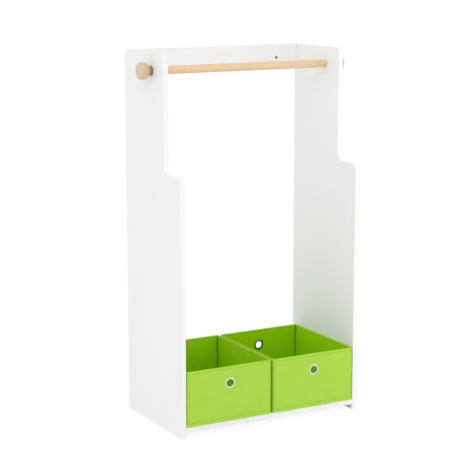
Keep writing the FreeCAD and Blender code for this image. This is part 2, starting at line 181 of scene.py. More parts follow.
# Stitches
STITCH_PITCH = 4.2 * MM
STITCH_LENGTH = 3.4 * MM
THREAD_RADIUS = 0.36 * MM
THREAD_LIFT = 0.5           # share of the radius by which the middle of a stitch is lifted
THREAD_SUNK = 0.3           # and by which the whole stitch is sunk
THREAD_SIDES = 6
THREAD_RINGS = ((0.0, 0.0), (0.12, 0.75), (0.35, 1.0), (0.65, 1.0), (0.88, 0.75), (1.0, 0.0))
THREAD_SHARP_DEGREES = 70.0

# Eyelets and washers
EYELET_BORE = 10.0 * MM
EYELET_METAL = 0.6 * MM
EYELET_SUNK = 0.05 * MM     # underside of the ring, below the wall's face
EYELET_UNDERCUT = 0.3 * MM  # and in from its rim
CROWN_STEPS = 14
LIP_REACH = 1.4 * MM
LIP_HEIGHT = 0.6 * MM
LIP_STEPS = 8
SHADED_METAL = 1                    # place of the rougher metal, painted darker as shade, in an eyelet's list of materials
WASHER_THICK = 0.8 * MM
WASHER_SUNK = 0.2 * MM
WASHER_RIM = 0.35 * MM      # height of the widest place
WASHER_FOOT_IN = 0.4 * MM   # in from the widest place at the foot
WASHER_TOP_IN = 0.5 * MM    # and at the top

# Base fabric and base boards
BASE_TUCK = 1.5 * MM        # base fabric sewn into the feet of the walls
BASE_BOARD_CLIP = 4.0 * MM  # corners
BASE_BOARD_PUFF = 0.3 * MM


# Node graphs

class Graph:
    """Adds and joins the shader nodes of one material or world."""

    def __init__(self, owner):
        self.owner = owner
        owner.use_nodes = True
        self.tree = owner.node_tree
        self.tree.nodes.clear()

    def add(self, kind, inputs=None, **settings):
        """A node of that kind; an input is a value or another node's output."""
        node = self.tree.nodes.new("ShaderNode" + kind)
        for key, value in settings.items():
            setattr(node, key, value)
        for key, value in (inputs or {}).items():
            if isinstance(value, bpy.types.NodeSocket):
                self.tree.links.new(value, node.inputs[key])
            else:
                node.inputs[key].default_value = value
        return node

    def axes(self):
        """X, Y and Z of the row frame, in metres."""
        return self.add("SeparateXYZ", {"Vector": self.add("TexCoord").outputs["Object"]}).outputs

    def coordinates(self, scale=(1, 1, 1), offset=(0, 0, 0)):
        """Places on the piece, in metres of the row frame, stretched by a scale and then moved."""
        inputs = {"Vector": self.add("TexCoord").outputs["Object"], "Scale": scale, "Location": offset}
        return self.add("Mapping", inputs).outputs["Vector"]

    def noise(self, size, detail=2.0, roughness=0.5, stretch=(1, 1, 1), distortion=0.0):
        """Noise whose patches are about that size in metres."""
        inputs = {"Vector": self.coordinates(stretch), "Scale": 1 / size, "Detail": detail,
                  "Roughness": roughness, "Distortion": distortion}
        return self.add("TexNoise", inputs).outputs["Fac"]

    def ramp(self, value, stops):
        """Colours at places from 0 to 1."""
        node = self.add("ValToRGB", {"Fac": value})
        elements = node.color_ramp.elements
        for index, (place, colour) in enumerate(stops):
            element = elements[index] if index < 2 else elements.new(place)
            element.position = place
            element.color = colour
        return node.outputs["Color"]

    def span(self, value, low, high, to_low, to_high):
        """Moves a value from one range to another, held at its ends."""
        inputs = {"Value": value, "From Min": low, "From Max": high, "To Min": to_low, "To Max": to_high}
        return self.add("MapRange", inputs).outputs["Result"]

    def maths(self, operation, first, second=0.0):
        """One operation on two values, or on the first alone."""
        return self.add("Math", {0: first, 1: second}, operation=operation).outputs["Value"]

    def mix(self, amount, first, second):
        """Two colours mixed; the numbers are the node's sockets for colours."""
        return self.add("Mix", {0: amount, 6: first, 7: second}, data_type="RGBA").outputs[2]

    def bump(self, height, strength, depth, normal=None):
        """Surface normal from a height."""
        inputs = {"Height": height, "Strength": strength, "Distance": depth}
        if normal is not None:
            inputs["Normal"] = normal
        return self.add("Bump", inputs).outputs["Normal"]

    def seen(self):
        """1 for rays that show the surroundings straight on, in metal or through glass, and 0 for others."""
        path = self.add("LightPath").outputs
        mirrored = self.maths("MAXIMUM", path["Is Glossy Ray"], path["Is Transmission Ray"])
        return self.maths("MAXIMUM", path["Is Camera Ray"], mirrored)

    def end(self, shader, kind="OutputMaterial"):
        """Joins the last shader to the output."""
        output = self.add(kind)
        self.tree.links.new(shader, output.inputs["Surface"])
        return self.owner

    def finish(self, inputs):
        """Ends the graph in a Principled surface."""
        return self.end(self.add("BsdfPrincipled", inputs).outputs["BSDF"])


def new_graph(name):
    """Empty graph of a new material."""
    return Graph(bpy.data.materials.new(name))


# Materials

def white_board(name, bores=None):
    """Satin white paint on board, with faint roller texture; the board shows raw inside screw holes, painted
    darker than raw board as shade.
    """
    graph = new_graph(name)
    cloud = graph.noise(PAINT_CLOUD, detail=3.0)
    colour = graph.ramp(cloud, [(0.3, PAINT_TONES[0]), (0.7, PAINT_TONES[1])])
    if bores:
        place = graph.axes()
        folded = {"X": graph.maths("ABSOLUTE", place["X"]), "Z": place["Z"]}
        inputs = {0: graph.add("CombineXYZ", folded).outputs["Vector"], 1: bores["axis"]}
        reach = graph.add("VectorMath", inputs, operation="DISTANCE").outputs["Value"]
        # raw board inside the holes, darkened further as painted shade
        raw_board_shade = graph.span(reach, bores["radius"] + RAW_RIM, bores["radius"] + 2 * RAW_RIM, 1.0, 0.0)
        colour = graph.mix(raw_board_shade, colour, RAW_BOARD_AND_SHADE)
    peel = graph.noise(PAINT_PEEL, detail=2.0)
    arris = graph.add("Bevel", {"Radius": PAINT_ARRIS}, samples=6).outputs["Normal"]
    rough = graph.span(graph.noise(PAINT_SMEAR, detail=3.0), 0.3, 0.7, 0.40, 0.48)
    return graph.finish({"Base Color": colour, "Roughness": rough, "Specular IOR Level": 0.42,
                         "Normal": graph.bump(peel, 0.10, 0.05 * MM, arris)})


def rail_bores():
    """Axis and radius of the rail's screw holes, folded onto the right half."""
    mount = next(mount for mount in frame["record"]["mounts"] if mount["name"] == "wall_fixing")
    across = mount["dims"]["spacing_x_mm"] / 2 * MM
    return {"axis": (across, 0.0, mount["pos_m"][2]), "radius": mount["dims"]["hole_r_mm"] * MM}


def beech(name, dark, middle, light, neck=None):
    """Clear-lacquered beech: growth rings, fibres, short flecks and greyer end grain.

    A turned neck, given the tone of its painted shade, is darker towards the panel.
    """
    graph = new_graph(name)
    rod_low, rod_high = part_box("hanging_rod")
    axis = (rod_low + rod_high) / 2
    pith = (0.0, PITH_FORWARD - axis.y, PITH_BELOW - axis.z)
    ring_inputs = {"Vector": graph.coordinates(RING_STRETCH, pith), "Scale": 120.0, "Distortion": 9.0,
                   "Detail": 3.0, "Detail Scale": 0.4, "Detail Roughness": 0.6}
    rings = graph.add("TexWave", ring_inputs, wave_type="RINGS", rings_direction="X").outputs["Fac"]
    fibre = graph.noise(FIBRE_WIDE, detail=4.0, roughness=0.6, stretch=FIBRE_STRETCH)
    tone = graph.maths("ADD", graph.maths("MULTIPLY", rings, RING_SHARE),
                       graph.maths("MULTIPLY", fibre, 1 - RING_SHARE))
    wood = graph.ramp(tone, [(0.15, dark), (0.5, middle), (0.85, light)])
    fleck = graph.span(graph.noise(FLECK_WIDE, detail=1.0, stretch=FLECK_STRETCH, distortion=0.3),
                       0.64, 0.72, 0.0, 0.32)
    grained = graph.mix(fleck, wood, FLECK_TONE)
    facing = graph.add("SeparateXYZ", {"Vector": graph.add("TexCoord").outputs["Normal"]}).outputs["X"]
    outward = graph.maths("MULTIPLY", facing, graph.maths("SIGN", graph.axes()["X"]))
    pores = graph.span(graph.noise(PORE_WIDE, detail=3.0, roughness=0.7), 0.35, 0.65, 0.82, 1.0)
    ends = graph.mix(graph.span(rings, 0.55, 1.0, 0.0, 0.40), END_GRAIN, dark)
    on_end = graph.maths("MULTIPLY", graph.span(outward, 0.75, 0.95, 0.0, 1.0), pores)
    colour = graph.mix(on_end, grained, ends)
    if neck:
        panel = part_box("right_side_panel")[1].x
        off_panel = graph.maths("SUBTRACT", graph.maths("ABSOLUTE", graph.axes()["X"]), panel)
        # painted shade on the knob's neck, darkest next to the panel
        colour = graph.mix(graph.span(off_panel, *KNOB_NECK_SHADE, 1.0, 0.0), colour, neck)
    height = graph.maths("SUBTRACT", fibre, graph.maths("MULTIPLY", fleck, 0.8))
    rough = graph.span(fibre, 0.3, 0.7, 0.42, 0.54)
    return graph.finish({"Base Color": colour, "Roughness": rough,
                         "Coat Weight": 0.10, "Coat Roughness": 0.35,
                         "Normal": graph.bump(height, 0.25, 0.08 * MM)})


def fabric(name, tones, worn, pressed, gloss):
    """Spun-bonded fabric: matted fibres pressed together at a close lattice of points."""
    graph = new_graph(name)
    place = graph.axes()
    across = graph.maths("ADD", place["X"], place["Y"])
    upward = graph.maths("ADD", graph.maths("SUBTRACT", place["X"], place["Y"]), place["Z"])
    waves = [graph.maths("SINE", graph.maths("MULTIPLY", along, 2 * math.pi / PRESS_PITCH))
             for along in (across, upward)]
    lattice = graph.maths("MULTIPLY", *waves)
    dots = graph.span(graph.maths("ABSOLUTE", lattice), 0.25, 0.85, 0.0, 1.0)
    fibres = graph.noise(TUFT_WIDE, detail=4.0, roughness=0.7, distortion=1.2)
    cloud = graph.noise(FABRIC_CLOUD, detail=4.0, roughness=0.6)
    base = graph.ramp(cloud, [(0.3, tones[0]), (0.7, tones[1])])
    matted = graph.mix(graph.span(fibres, 0.35, 0.65, 0.0, MATTED_SHARE), base, worn)
    colour = graph.mix(graph.maths("MULTIPLY", dots, PRESS_SHARE), matted, pressed)
    height = graph.maths("SUBTRACT", graph.maths("MULTIPLY", fibres, 0.6), dots)
    return graph.finish({"Base Color": colour, "Roughness": 0.85, "Specular IOR Level": gloss,
                         "Sheen Weight": gloss / 3, "Sheen Roughness": 0.45,
                         "Normal": graph.bump(height, 0.35, 0.12 * MM)})


def thread(name, dark, light):
    """Twisted sewing thread, darker than the fabric that it pulls in."""
    graph = new_graph(name)
    twist = graph.noise(TWIST_WIDE, detail=2.0)
    return graph.finish({"Base Color": graph.ramp(twist, [(0.35, dark), (0.65, light)]), "Roughness": 0.6,
                         "Normal": graph.bump(twist, 0.3, 0.05 * MM)})


def plated(name, dark, light, smoothest, roughest):
    """Plated metal with faint polishing marks."""
    graph = new_graph(name)
    marks = graph.noise(POLISH_WIDE, detail=3.0, stretch=POLISH_STRETCH)
    return graph.finish({"Base Color": graph.ramp(marks, [(0.3, dark), (0.7, light)]), "Metallic": 1.0,
                         "Roughness": graph.span(marks, 0.3, 0.7, smoothest, roughest)})


def grey_board(name, dark, light):
    """Recycled pressboard of the stiffeners."""
    graph = new_graph(name)
    pulp = graph.noise(PULP_WIDE, detail=5.0, roughness=0.7)
    return graph.finish({"Base Color": graph.ramp(pulp, [(0.3, dark), (0.7, light)]), "Roughness": 0.9,
                         "Normal": graph.bump(pulp, 0.3, 0.1 * MM)})


ROD_WOOD = beech("rod_beech", dark=srgb(226, 188, 146), middle=srgb(235, 200, 160),
                 light=srgb(242, 211, 174))
# The neck tone is painted shade where the neck meets the panel
KNOB_WOOD = beech("knob_beech", dark=srgb(208, 176, 136), middle=srgb(219, 190, 152),
                  light=srgb(227, 201, 166), neck=srgb(128, 102, 60))
FABRIC = fabric("green_fabric", tones=(srgb(171, 213, 72), srgb(174, 216, 76)), worn=srgb(184, 224, 94),
                pressed=srgb(148, 192, 51), gloss=0.15)
HEM = fabric("green_hem", tones=(srgb(166, 213, 52), srgb(169, 216, 56)), worn=srgb(176, 221, 66),
             pressed=srgb(146, 195, 36), gloss=0.0)
# Inside faces and base fabric: a deeper, more saturated green that is painted shade of the box's inside
SHADED_LINING = fabric("green_lining_painted_shade", tones=(srgb(158, 217, 4), srgb(162, 220, 6)), worn=srgb(168, 223, 10),
                pressed=srgb(140, 199, 3), gloss=0.06)
# Painted shade: darker green along the joints inside the corners
CORNER_SHADE_FABRIC = fabric("green_corner_shade", tones=(srgb(112, 166, 3), srgb(116, 169, 4)), worn=srgb(122, 173, 8),
              pressed=srgb(100, 152, 2), gloss=0.0)
# Base boards: dark green, painted shade at the bottom of the boxes
SHADED_BOARD_COVER = fabric("board_cover_painted_shade", tones=(srgb(112, 150, 20), srgb(116, 153, 22)), worn=srgb(122, 158, 30),
                     pressed=srgb(100, 138, 14), gloss=0.06)
THREAD = thread("green_thread", dark=srgb(104, 150, 24), light=srgb(126, 172, 40))
WHITE_PAINT = white_board("white_paint")
RAIL_PAINT = white_board("rail_paint", rail_bores())
NICKEL = plated("nickel", dark=srgb(206, 207, 203), light=srgb(218, 219, 215), smoothest=0.14, roughest=0.24)
# Rougher nickel, painted darker as shade on the eyelets' barrels and lips and on the washers
SHADED_NICKEL = plated("nickel_painted_shade", dark=srgb(112, 110, 104), light=srgb(128, 126, 120),
                     smoothest=0.30, roughest=0.40)
ZINC = plated("zinc", dark=srgb(168, 170, 172), light=srgb(196, 197, 198), smoothest=0.35, roughest=0.50)
PRESSBOARD = grey_board("grey_board", dark=srgb(150, 142, 128), light=srgb(178, 170, 156))

SLOT_MATERIALS = {"white_board": WHITE_PAINT, "beech": ROD_WOOD, "dowel_wood": ROD_WOOD, "steel": ZINC,
                  "green_fabric": FABRIC, "stiff_board": PRESSBOARD, "nickel": NICKEL}


def dress_cad_nodes():
    """Gives every carried-over CAD node the material of its slot, and the rail its paint with raw holes that
    also carry painted shade.
    """
    for part in frame["record"]["subparts"]:
        slots = frame["nodes"][part["node"]].data.materials
        slots.clear()
        slots.append(RAIL_PAINT if part["node"] == "top_rail" else SLOT_MATERIALS[part["material_slot"]])


# Meshes

def place_piece(name, form, body, materials, replaced, sharp_degrees=SHARP_DEGREES):
    """A new piece that rides on a body and stands for CAD nodes."""
    mesh = mesh_of(name, form, sharp_degrees)
    for material in materials:
        mesh.materials.append(material)
    piece = bpy.data.objects.new(name, mesh)
    bpy.context.scene.collection.objects.link(piece)
    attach(piece, body)
    if replaced:
        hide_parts(*replaced)
    return piece


def mesh_of(name, form, sharp_degrees=SHARP_DEGREES):
    """Finished mesh of a bmesh, smooth but for its sharp edges."""
    bmesh.ops.recalc_face_normals(form, faces=form.faces)
    mesh = bpy.data.meshes.new(name)
    form.to_mesh(mesh)
    form.free()
    mesh.shade_smooth()
    mesh.set_sharp_from_angle(angle=math.radians(sharp_degrees))
    return mesh


def circle(form, middle, spoke, side, radius, steps):
    """New points evenly round a circle, from the spoke towards the side."""
    angles = [2 * math.pi * step / steps for step in range(steps)]
    return [form.verts.new(middle + (spoke * math.cos(angle) + side * math.sin(angle)) * radius)
            for angle in angles]


def skin_rings(form, rings, closed):
    """Joins rings of equally many points, or single end points; returns the faces of each pair."""
    steps = max(len(ring) for ring in rings)
    pairs = list(zip(rings, rings[1:]))
    if closed:
        pairs.append((rings[-1], rings[0]))
    bands = []
    for first, second in pairs:
        band = []
        for step in range(steps):
            follow = (step + 1) % steps
            corners = [first[step % len(first)], first[follow % len(first)],
                       second[follow % len(second)], second[step % len(second)]]
            band.append(form.faces.new(list(dict.fromkeys(corners))))
        bands.append(band)
    return bands


def turn(form, profile, centre, axis, spoke):
    """Adds a turned form and returns its bands of faces.

    The profile is (place along the axis, radius) pairs, which end on the axis or else are closed.
    """
    side = axis.cross(spoke)
    rings = []
    for along, radius in profile:
        middle = centre + axis * along
        if radius == 0.0:
            rings.append([form.verts.new(middle)])
        else:
            rings.append(circle(form, middle, spoke, side, radius, TURNING_STEPS))
    return skin_rings(form, rings, closed=profile[0][1] > 0.0)


def arc(centre, radii, start, end, steps):
    """Points of an elliptical arc in profile coordinates, angles in degrees."""
    points = []
    for step in range(steps + 1):
        angle = math.radians(start + (end - start) * step / steps)
        points.append((centre[0] + radii[0] * math.cos(angle), centre[1] + radii[1] * math.sin(angle)))
    return points


def smooth(low, high, value):
    """Smooth step from 0 at low to 1 at high."""
    share = min(max((value - low) / (high - low), 0.0), 1.0)
    return share * share * (3 - 2 * share)


def rounded(share):
    """Share of the thickness at a share of the way in from a rounded edge."""
    outer = 1 - min(share, 1.0)
    return max(math.sqrt(1 - outer * outer), EDGE_THIN)


def filled(places):
    """Places in order, with more between them so that no step is wider than the widest mesh step."""
    places = sorted(places)
    steps = [places[0]]
    for place in places[1:]:
        begin = steps[-1]
        count = math.ceil((place - begin) / WALL_STEP)
        steps += [begin + (place - begin) * number / count for number in range(1, count + 1)]
    return steps


# Rod and knobs

def rod_and_knobs():
    """Rod between the panels, and the turned knob outside each panel."""
    low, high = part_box("hanging_rod")
    centre = (low + high) / 2
    form = bmesh.new()
    turn(form, rod_profile((high.x - low.x) / 2, (high.z - low.z) / 2), centre, X_AXIS, Z_AXIS)
    place_piece("rod", form, "rack", [ROD_WOOD], ["hanging_rod"])

    knob_low, knob_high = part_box("rod_knobs")
    head = (knob_high.z - knob_low.z) / 2
    left_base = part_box("left_side_panel")[0].x
    right_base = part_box("right_side_panel")[1].x
    form = bmesh.new()
    for base_x, tip_x in ((left_base, knob_low.x), (right_base, knob_high.x)):
        outward = X_AXIS * math.copysign(1.0, tip_x - base_x)
        base = Vector((base_x, centre.y, centre.z))
        turn(form, knob_profile(abs(tip_x - base_x), head), base, outward, Z_AXIS)
    place_piece("knobs", form, "rack", [KNOB_WOOD], ["rod_knobs"])


def rod_profile(half, radius):
    """Straight rod about its middle, with rounded ends."""
    hub = (half - ROD_EASE, radius - ROD_EASE)
    end = arc(hub, (ROD_EASE, ROD_EASE), 90, 0, ROD_EASE_STEPS) + [(half, 0.0)]
    return [(-along, reach) for along, reach in reversed(end)] + end


def knob_profile(length, head):
    """Neck, swelling cone, straight rim and softly rounded face."""
    rim_start = length - KNOB_RIM_LENGTH
    neck_end = rim_start - KNOB_CONE_LENGTH
    neck = [(0.0, 0.0), (0.0, KNOB_NECK_RADIUS - KNOB_NECK_EASE), (KNOB_NECK_EASE, KNOB_NECK_RADIUS),
            (neck_end / 2, KNOB_NECK_RADIUS - KNOB_NECK_WAIST)]
    cone = []
    for step in range(KNOB_CONE_STEPS + 1):
        share = step / KNOB_CONE_STEPS
        swell = math.sin(share * math.pi / 2) ** KNOB_CONE_SWELL
        cone.append((neck_end + KNOB_CONE_LENGTH * share,
                     KNOB_NECK_RADIUS + (head - KNOB_NECK_RADIUS) * swell))
    hub = (length - KNOB_FACE_ROUND - KNOB_FACE_DOME, head - KNOB_FACE_ROUND)
    face = arc(hub, (KNOB_FACE_ROUND, KNOB_FACE_ROUND), 90, KNOB_FACE_LEAN, KNOB_FACE_STEPS)
    dome = [(length - KNOB_FACE_DOME * KNOB_DOME_FALL, head / 2), (length, 0.0)]
    return neck + cone + face + dome


# Sewn boxes

class SewnBox:
    """Where the outer and the inner skin of a box's fabric walls lie."""

    def __init__(self, side):
        self.side = side
        front_low, front_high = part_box(f"{side}_box_front_wall")
        back_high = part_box(f"{side}_box_back_wall")[1]
        eye_low, eye_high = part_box(f"{side}_box_eyelets")
        self.half_wall = (front_high.y - front_low.y) / 2
        self.low = Vector((front_low.x, front_low.y, front_low.z))
        self.high = Vector((front_high.x, back_high.y, front_high.z))
        self.height = self.high.z - self.low.z
        self.eye = (eye_low + eye_high) / 2
        self.eye_radius = (eye_high.x - eye_low.x) / 2
        self.eye_crown = self.low.y - eye_low.y
        left, right = self.low.x + self.half_wall, self.high.x - self.half_wall
        front, back = self.low.y + self.half_wall, self.high.y - self.half_wall
        corners = [Vector(place) for place in ((left, front), (right, front), (right, back), (left, back))]
        self.walls = []
        for index, name in enumerate(("front", "right", "back", "left")):
            start, end = corners[index], corners[(index + 1) % 4]
            along = (end - start).normalized()
            self.walls.append({"start": start, "along": along, "length": (end - start).length,
                               "out": Vector((along.y, -along.x)), "creased": name in ("right", "left")})

    def rows(self):
        """Heights of the mesh rows, close together at the edges and the seams."""
        places = set()
        for offset in SEAM_STATIONS:
            places |= {FOOT_SEAM - offset * MM, self.height - TOP_SEAM + offset * MM}
        for offset in EDGE_STATIONS:
            places |= {offset * MM, self.height - offset * MM}
        return filled(places)

    def columns(self):
        """Upright mesh lines all round: the wall, and the place along it of the outer and inner skin."""
        lines = []
        end = self.round(True)
        corner = []
        for share in CORNER_SHARES:
            corner.append([self.diagonal(outward) * (1 - share) + end * share for outward in (True, False)])
        for wall in self.walls:
            length = wall["length"]
            places = {end, length - end}
            if wall["creased"]:
                places |= {length / 2 + offset * MM for offset in CREASE_STATIONS}
            lines += [(wall, outer, inner) for outer, inner in corner]
            lines += [(wall, place, place) for place in filled(places)]
            lines += [(wall, length - outer, length - inner) for outer, inner in reversed(corner[1:])]
        return lines

    def round(self, outward):
        """Radius by which the middle line is rounded at the corners to carry a skin."""
        return CORNER_OUTER - self.half_wall if outward else CORNER_INNER + self.half_wall

    def diagonal(self, outward):
        """Place along a wall where a skin meets that of the next wall."""
        return self.round(outward) * (1 - math.sqrt(0.5))

    def half(self, wall, place, height, outward):
        """Half thickness of the sewn wall, towards its outer or its inner skin."""
        spot = (wall, place, height, outward)
        full = self.half_wall - self.drawn_in(*spot) + self.stood_off(*spot)
        return full * rounded(min(height, self.height - height) / EDGE_ROUND)

    def drawn_in(self, wall, place, height, outward):
        """How far seams, the fold and the corner joint draw a skin in."""
        to_top = self.height - height
        to_side = to_corner(wall, place) + self.half_wall
        seam_deep, rise = (SEAM_DEEP, PANEL_RISE) if outward else (LINING_SEAM_DEEP, LINING_RISE)
        deep = max(seam_deep * seam_share(height - FOOT_SEAM, rise),
                   seam_deep * seam_share(to_top - TOP_SEAM, rise),
                   SIDE_SEAM_DEEP * seam_share(to_side - SIDE_SEAM, rise),
                   CREASE_DEEP * (1 - smooth(0, CREASE_WIDE, to_fold(wall, place))))
        if outward:
            return deep
        joint = CORNER_DEEP * (1 - smooth(self.diagonal(False), CORNER_WIDE, to_corner(wall, place)))
        return max(deep, joint)

    def stood_off(self, wall, place, height, outward):
        """How far loose fabric puffs and ripples, and the fold of the hem stands proud inside."""
        to_top = self.height - height
        to_side = to_corner(wall, place) + self.half_wall
        free = min(height - FOOT_SEAM, to_top - TOP_SEAM, to_side - SIDE_SEAM, to_fold(wall, place))
        point = wall["start"] + wall["along"] * place
        calm = 1.0
        if not wall["creased"]:
            reach = math.hypot(point.x - self.eye.x, self.low.z + height - self.eye.z) - self.eye_radius
            calm = smooth(0.0, CALM_REACH, reach)
        seed = OUTER_SEED if outward else LINING_SEED
        wave = noise.noise(Vector(((point.x + point.y) / RIPPLE_WIDE,
                                   (point.x - point.y) / RIPPLE_WIDE + seed,
                                   height / RIPPLE_TALL)))
        loose = (PUFF + RIPPLE * wave) * smooth(0.0, LOOSE_RISE, free) * calm
        if outward:
            return loose
        return loose + HEM_ROLL * smooth(0.0, HEM_RISE, TOP_SEAM - to_top)

    def facing(self, wall, place, outward):
        """Point of the middle line that carries a skin, and the direction that the skin faces there."""
        bend = self.round(outward)
        aside = to_corner(wall, place)
        if aside >= bend:
            return wall["start"] + wall["along"] * place, wall["out"]
        near_start = place < wall["length"] / 2
        angle = math.asin((bend - aside) / bend)
        hub_place = bend if near_start else wall["length"] - bend
        hub = wall["start"] + wall["along"] * hub_place - wall["out"] * bend
        cornerwards = wall["along"] * (-1 if near_start else 1)
        out = wall["out"] * math.cos(angle) + cornerwards * math.sin(angle)
        return hub + out * bend, out

    def on_skin(self, wall, place, height, outward):
        """Point of a skin."""
        base, out = self.facing(wall, place, outward)
        half = self.half(wall, place, height, outward)
        spot = base + out * (half if outward else -half)
        return Vector((spot.x, spot.y, self.low.z + height))


def to_corner(wall, place):
    """Distance along a wall to the nearer corner."""
    return min(place, wall["length"] - place)


def to_fold(wall, place):
    """Distance along a wall to its upright fold, or its length where it has none."""
    return abs(place - wall["length"] / 2) if wall["creased"] else wall["length"]


def seam_share(offset, rise):
    """Share of a seam's depth at a distance from its stitching, positive towards the stiffener."""
    return 1 - smooth(0, rise if offset > 0 else HEM_RISE, abs(offset))


def add_sewn_walls(form, box):
    """Closed sleeve of fabric all round the box: outer skin, hem over the top, and lining inside, coloured a
    deeper green as painted shade, and darker still as painted shade along the inner corners.
    """
    rows = box.rows()
    columns = box.columns()
    # faces beside an inner corner joint get painted shade
    corner_shaded = [to_corner(wall, inner) < CORNER_SHADE_WIDE for wall, outer, inner in columns]
    heights = [(height, False) for height in rows] + [(height, True) for height in reversed(rows)]
    rings = []
    for height, outward in heights:
        spots = [(wall, outer if outward else inner) for wall, outer, inner in columns]
        rings.append([form.verts.new(box.on_skin(wall, place, height, outward)) for wall, place in spots])
    bands = skin_rings(form, rings, closed=True)
    for (height, outward), band in zip(heights, bands):
        hemmed = box.height - height < (EDGE_ROUND if outward else TOP_SEAM)
        for step, face in enumerate(band):
            in_corner_shade = corner_shaded[step] and corner_shaded[(step + 1) % len(corner_shaded)]
            if hemmed:
                face.material_index = HEMMED
            elif outward:
                face.material_index = OUTSIDE
            else:
                face.material_index = SHADED_CORNER if in_corner_shade else INSIDE


def add_slab(form, low, high, clip, puff):
    """Thin board or doubled fabric: rounded rim, clipped corners and a slightly uneven top."""
    width, depth, thick = high - low
    middle = (low.z + high.z) / 2
    edges = [offset * MM for offset in EDGE_STATIONS] + [clip]
    xs = filled({place for edge in edges for place in (edge, width - edge)})
    ys = filled({place for edge in edges for place in (edge, depth - edge)})
    sheets = []
    for face in (1, -1):
        grid = []
        for x in xs:
            line = []
            for y in ys:
                edge = min(x, width - x, y, depth - y)
                lift = thick / 2 * rounded(edge / (thick / 2))
                if face > 0:
                    wave = noise.noise(Vector((x / RIPPLE_WIDE, y / RIPPLE_WIDE, low.x)))
                    lift += puff * wave * smooth(0.0, LOOSE_RISE, edge)
                in_x, in_y = clipped(x, y, width, depth, clip)
                line.append(form.verts.new((low.x + in_x, low.y + in_y, middle + face * lift)))
            grid.append(line)
        sheets.append(grid)
    rims = []
    for grid in sheets:
        for first, second in zip(grid, grid[1:]):
            for step in range(len(ys) - 1):
                form.faces.new((first[step], second[step], second[step + 1], first[step + 1]))
        front = [line[0] for line in grid]
        back = [line[-1] for line in grid]
        rims.append(front + grid[-1][1:-1] + back[::-1] + grid[0][-2:0:-1])
    skin_rings(form, rims, closed=False)


def clipped(x, y, width, depth, clip):
    """Place in a rectangle moved in at the corners, so that they are rounded off."""
    from_x = min(x, width - x)
    from_y = min(y, depth - y)
    if from_x >= clip or from_y >= clip:
        return x, y
    gap_x, gap_y = clip - from_x, clip - from_y
    scale = max(gap_x, gap_y) / math.hypot(gap_x, gap_y)
    new_x, new_y = clip - gap_x * scale, clip - gap_y * scale
    return (new_x if x < width / 2 else width - new_x), (new_y if y < depth / 2 else depth - new_y)


def cut_eyelet_holes(piece, box):
    """Cuts the round holes of the eyelets through the front and the back wall."""
    radius = EYELET_BORE + EYELET_METAL
    half = box.high.y - box.low.y
    form = bmesh.new()
    turn(form, [(-half, 0.0), (-half, radius), (half, radius), (half, 0.0)], box.eye, Y_AXIS, X_AXIS)
    cutter = bpy.data.objects.new("cutter", mesh_of("cutter", form))
    bpy.context.scene.collection.objects.link(cutter)
    modifier = piece.modifiers.new("holes", "BOOLEAN")
    modifier.operation = "DIFFERENCE"
    modifier.solver = "EXACT"
    modifier.object = cutter
    bpy.context.view_layer.update()
    evaluated = piece.evaluated_get(bpy.context.evaluated_depsgraph_get())
    mesh = bpy.data.meshes.new_from_object(evaluated)
    piece.modifiers.clear()
    piece.data = mesh
    bpy.data.objects.remove(cutter)


def add_stitch(form, start, end, out):
    """One stitch of thread, partly sunk in the fabric."""
    side = (end - start).normalized().cross(out).normalized()
    rings = []
    for share, size in THREAD_RINGS:
        middle = start.lerp(end, share) + out * THREAD_RADIUS * (THREAD_LIFT * size - THREAD_SUNK)
        if size == 0.0:
            rings.append([form.verts.new(middle)])
        else:
            rings.append(circle(form, middle, side, out, THREAD_RADIUS * size, THREAD_SIDES))
    skin_rings(form, rings, closed=False)


def add_seam(form, box, wall, first, last, outward):
    """A row of stitches on one skin from one (place, height) of a wall to another."""
    length = math.hypot(last[0] - first[0], last[1] - first[1])
    count = int(length / STITCH_PITCH)
    half = STITCH_LENGTH / 2 / length

    def place(share):
        """Place along the wall at a share of the seam."""
        return first[0] + (last[0] - first[0]) * share

    def spot(share):
        """Point of the skin at a share of the seam."""
        return box.on_skin(wall, place(share), first[1] + (last[1] - first[1]) * share, outward)

    for number in range(count):
        middle = (number + 0.5) / count
        facing = box.facing(wall, place(middle), outward)[1] * (1 if outward else -1)
        add_stitch(form, spot(middle - half), spot(middle + half), facing.to_3d())


def add_stitching(form, box):
    """Every visible seam of a box: along the four edges of each wall and down each fold."""
    low, high = FOOT_SEAM, box.height - TOP_SEAM
    for wall in box.walls:
        near = SIDE_SEAM - box.half_wall
        far = wall["length"] - near
        seams = [((near, low), (far, low)), ((near, high), (far, high)), ((near, low), (near, high)),
                 ((far, low), (far, high))]
        if wall["creased"]:
            middle = wall["length"] / 2
            seams.append(((middle, low), (middle, high)))
        for outward in (True, False):
            for first, last in seams:
                add_seam(form, box, wall, first, last, outward)


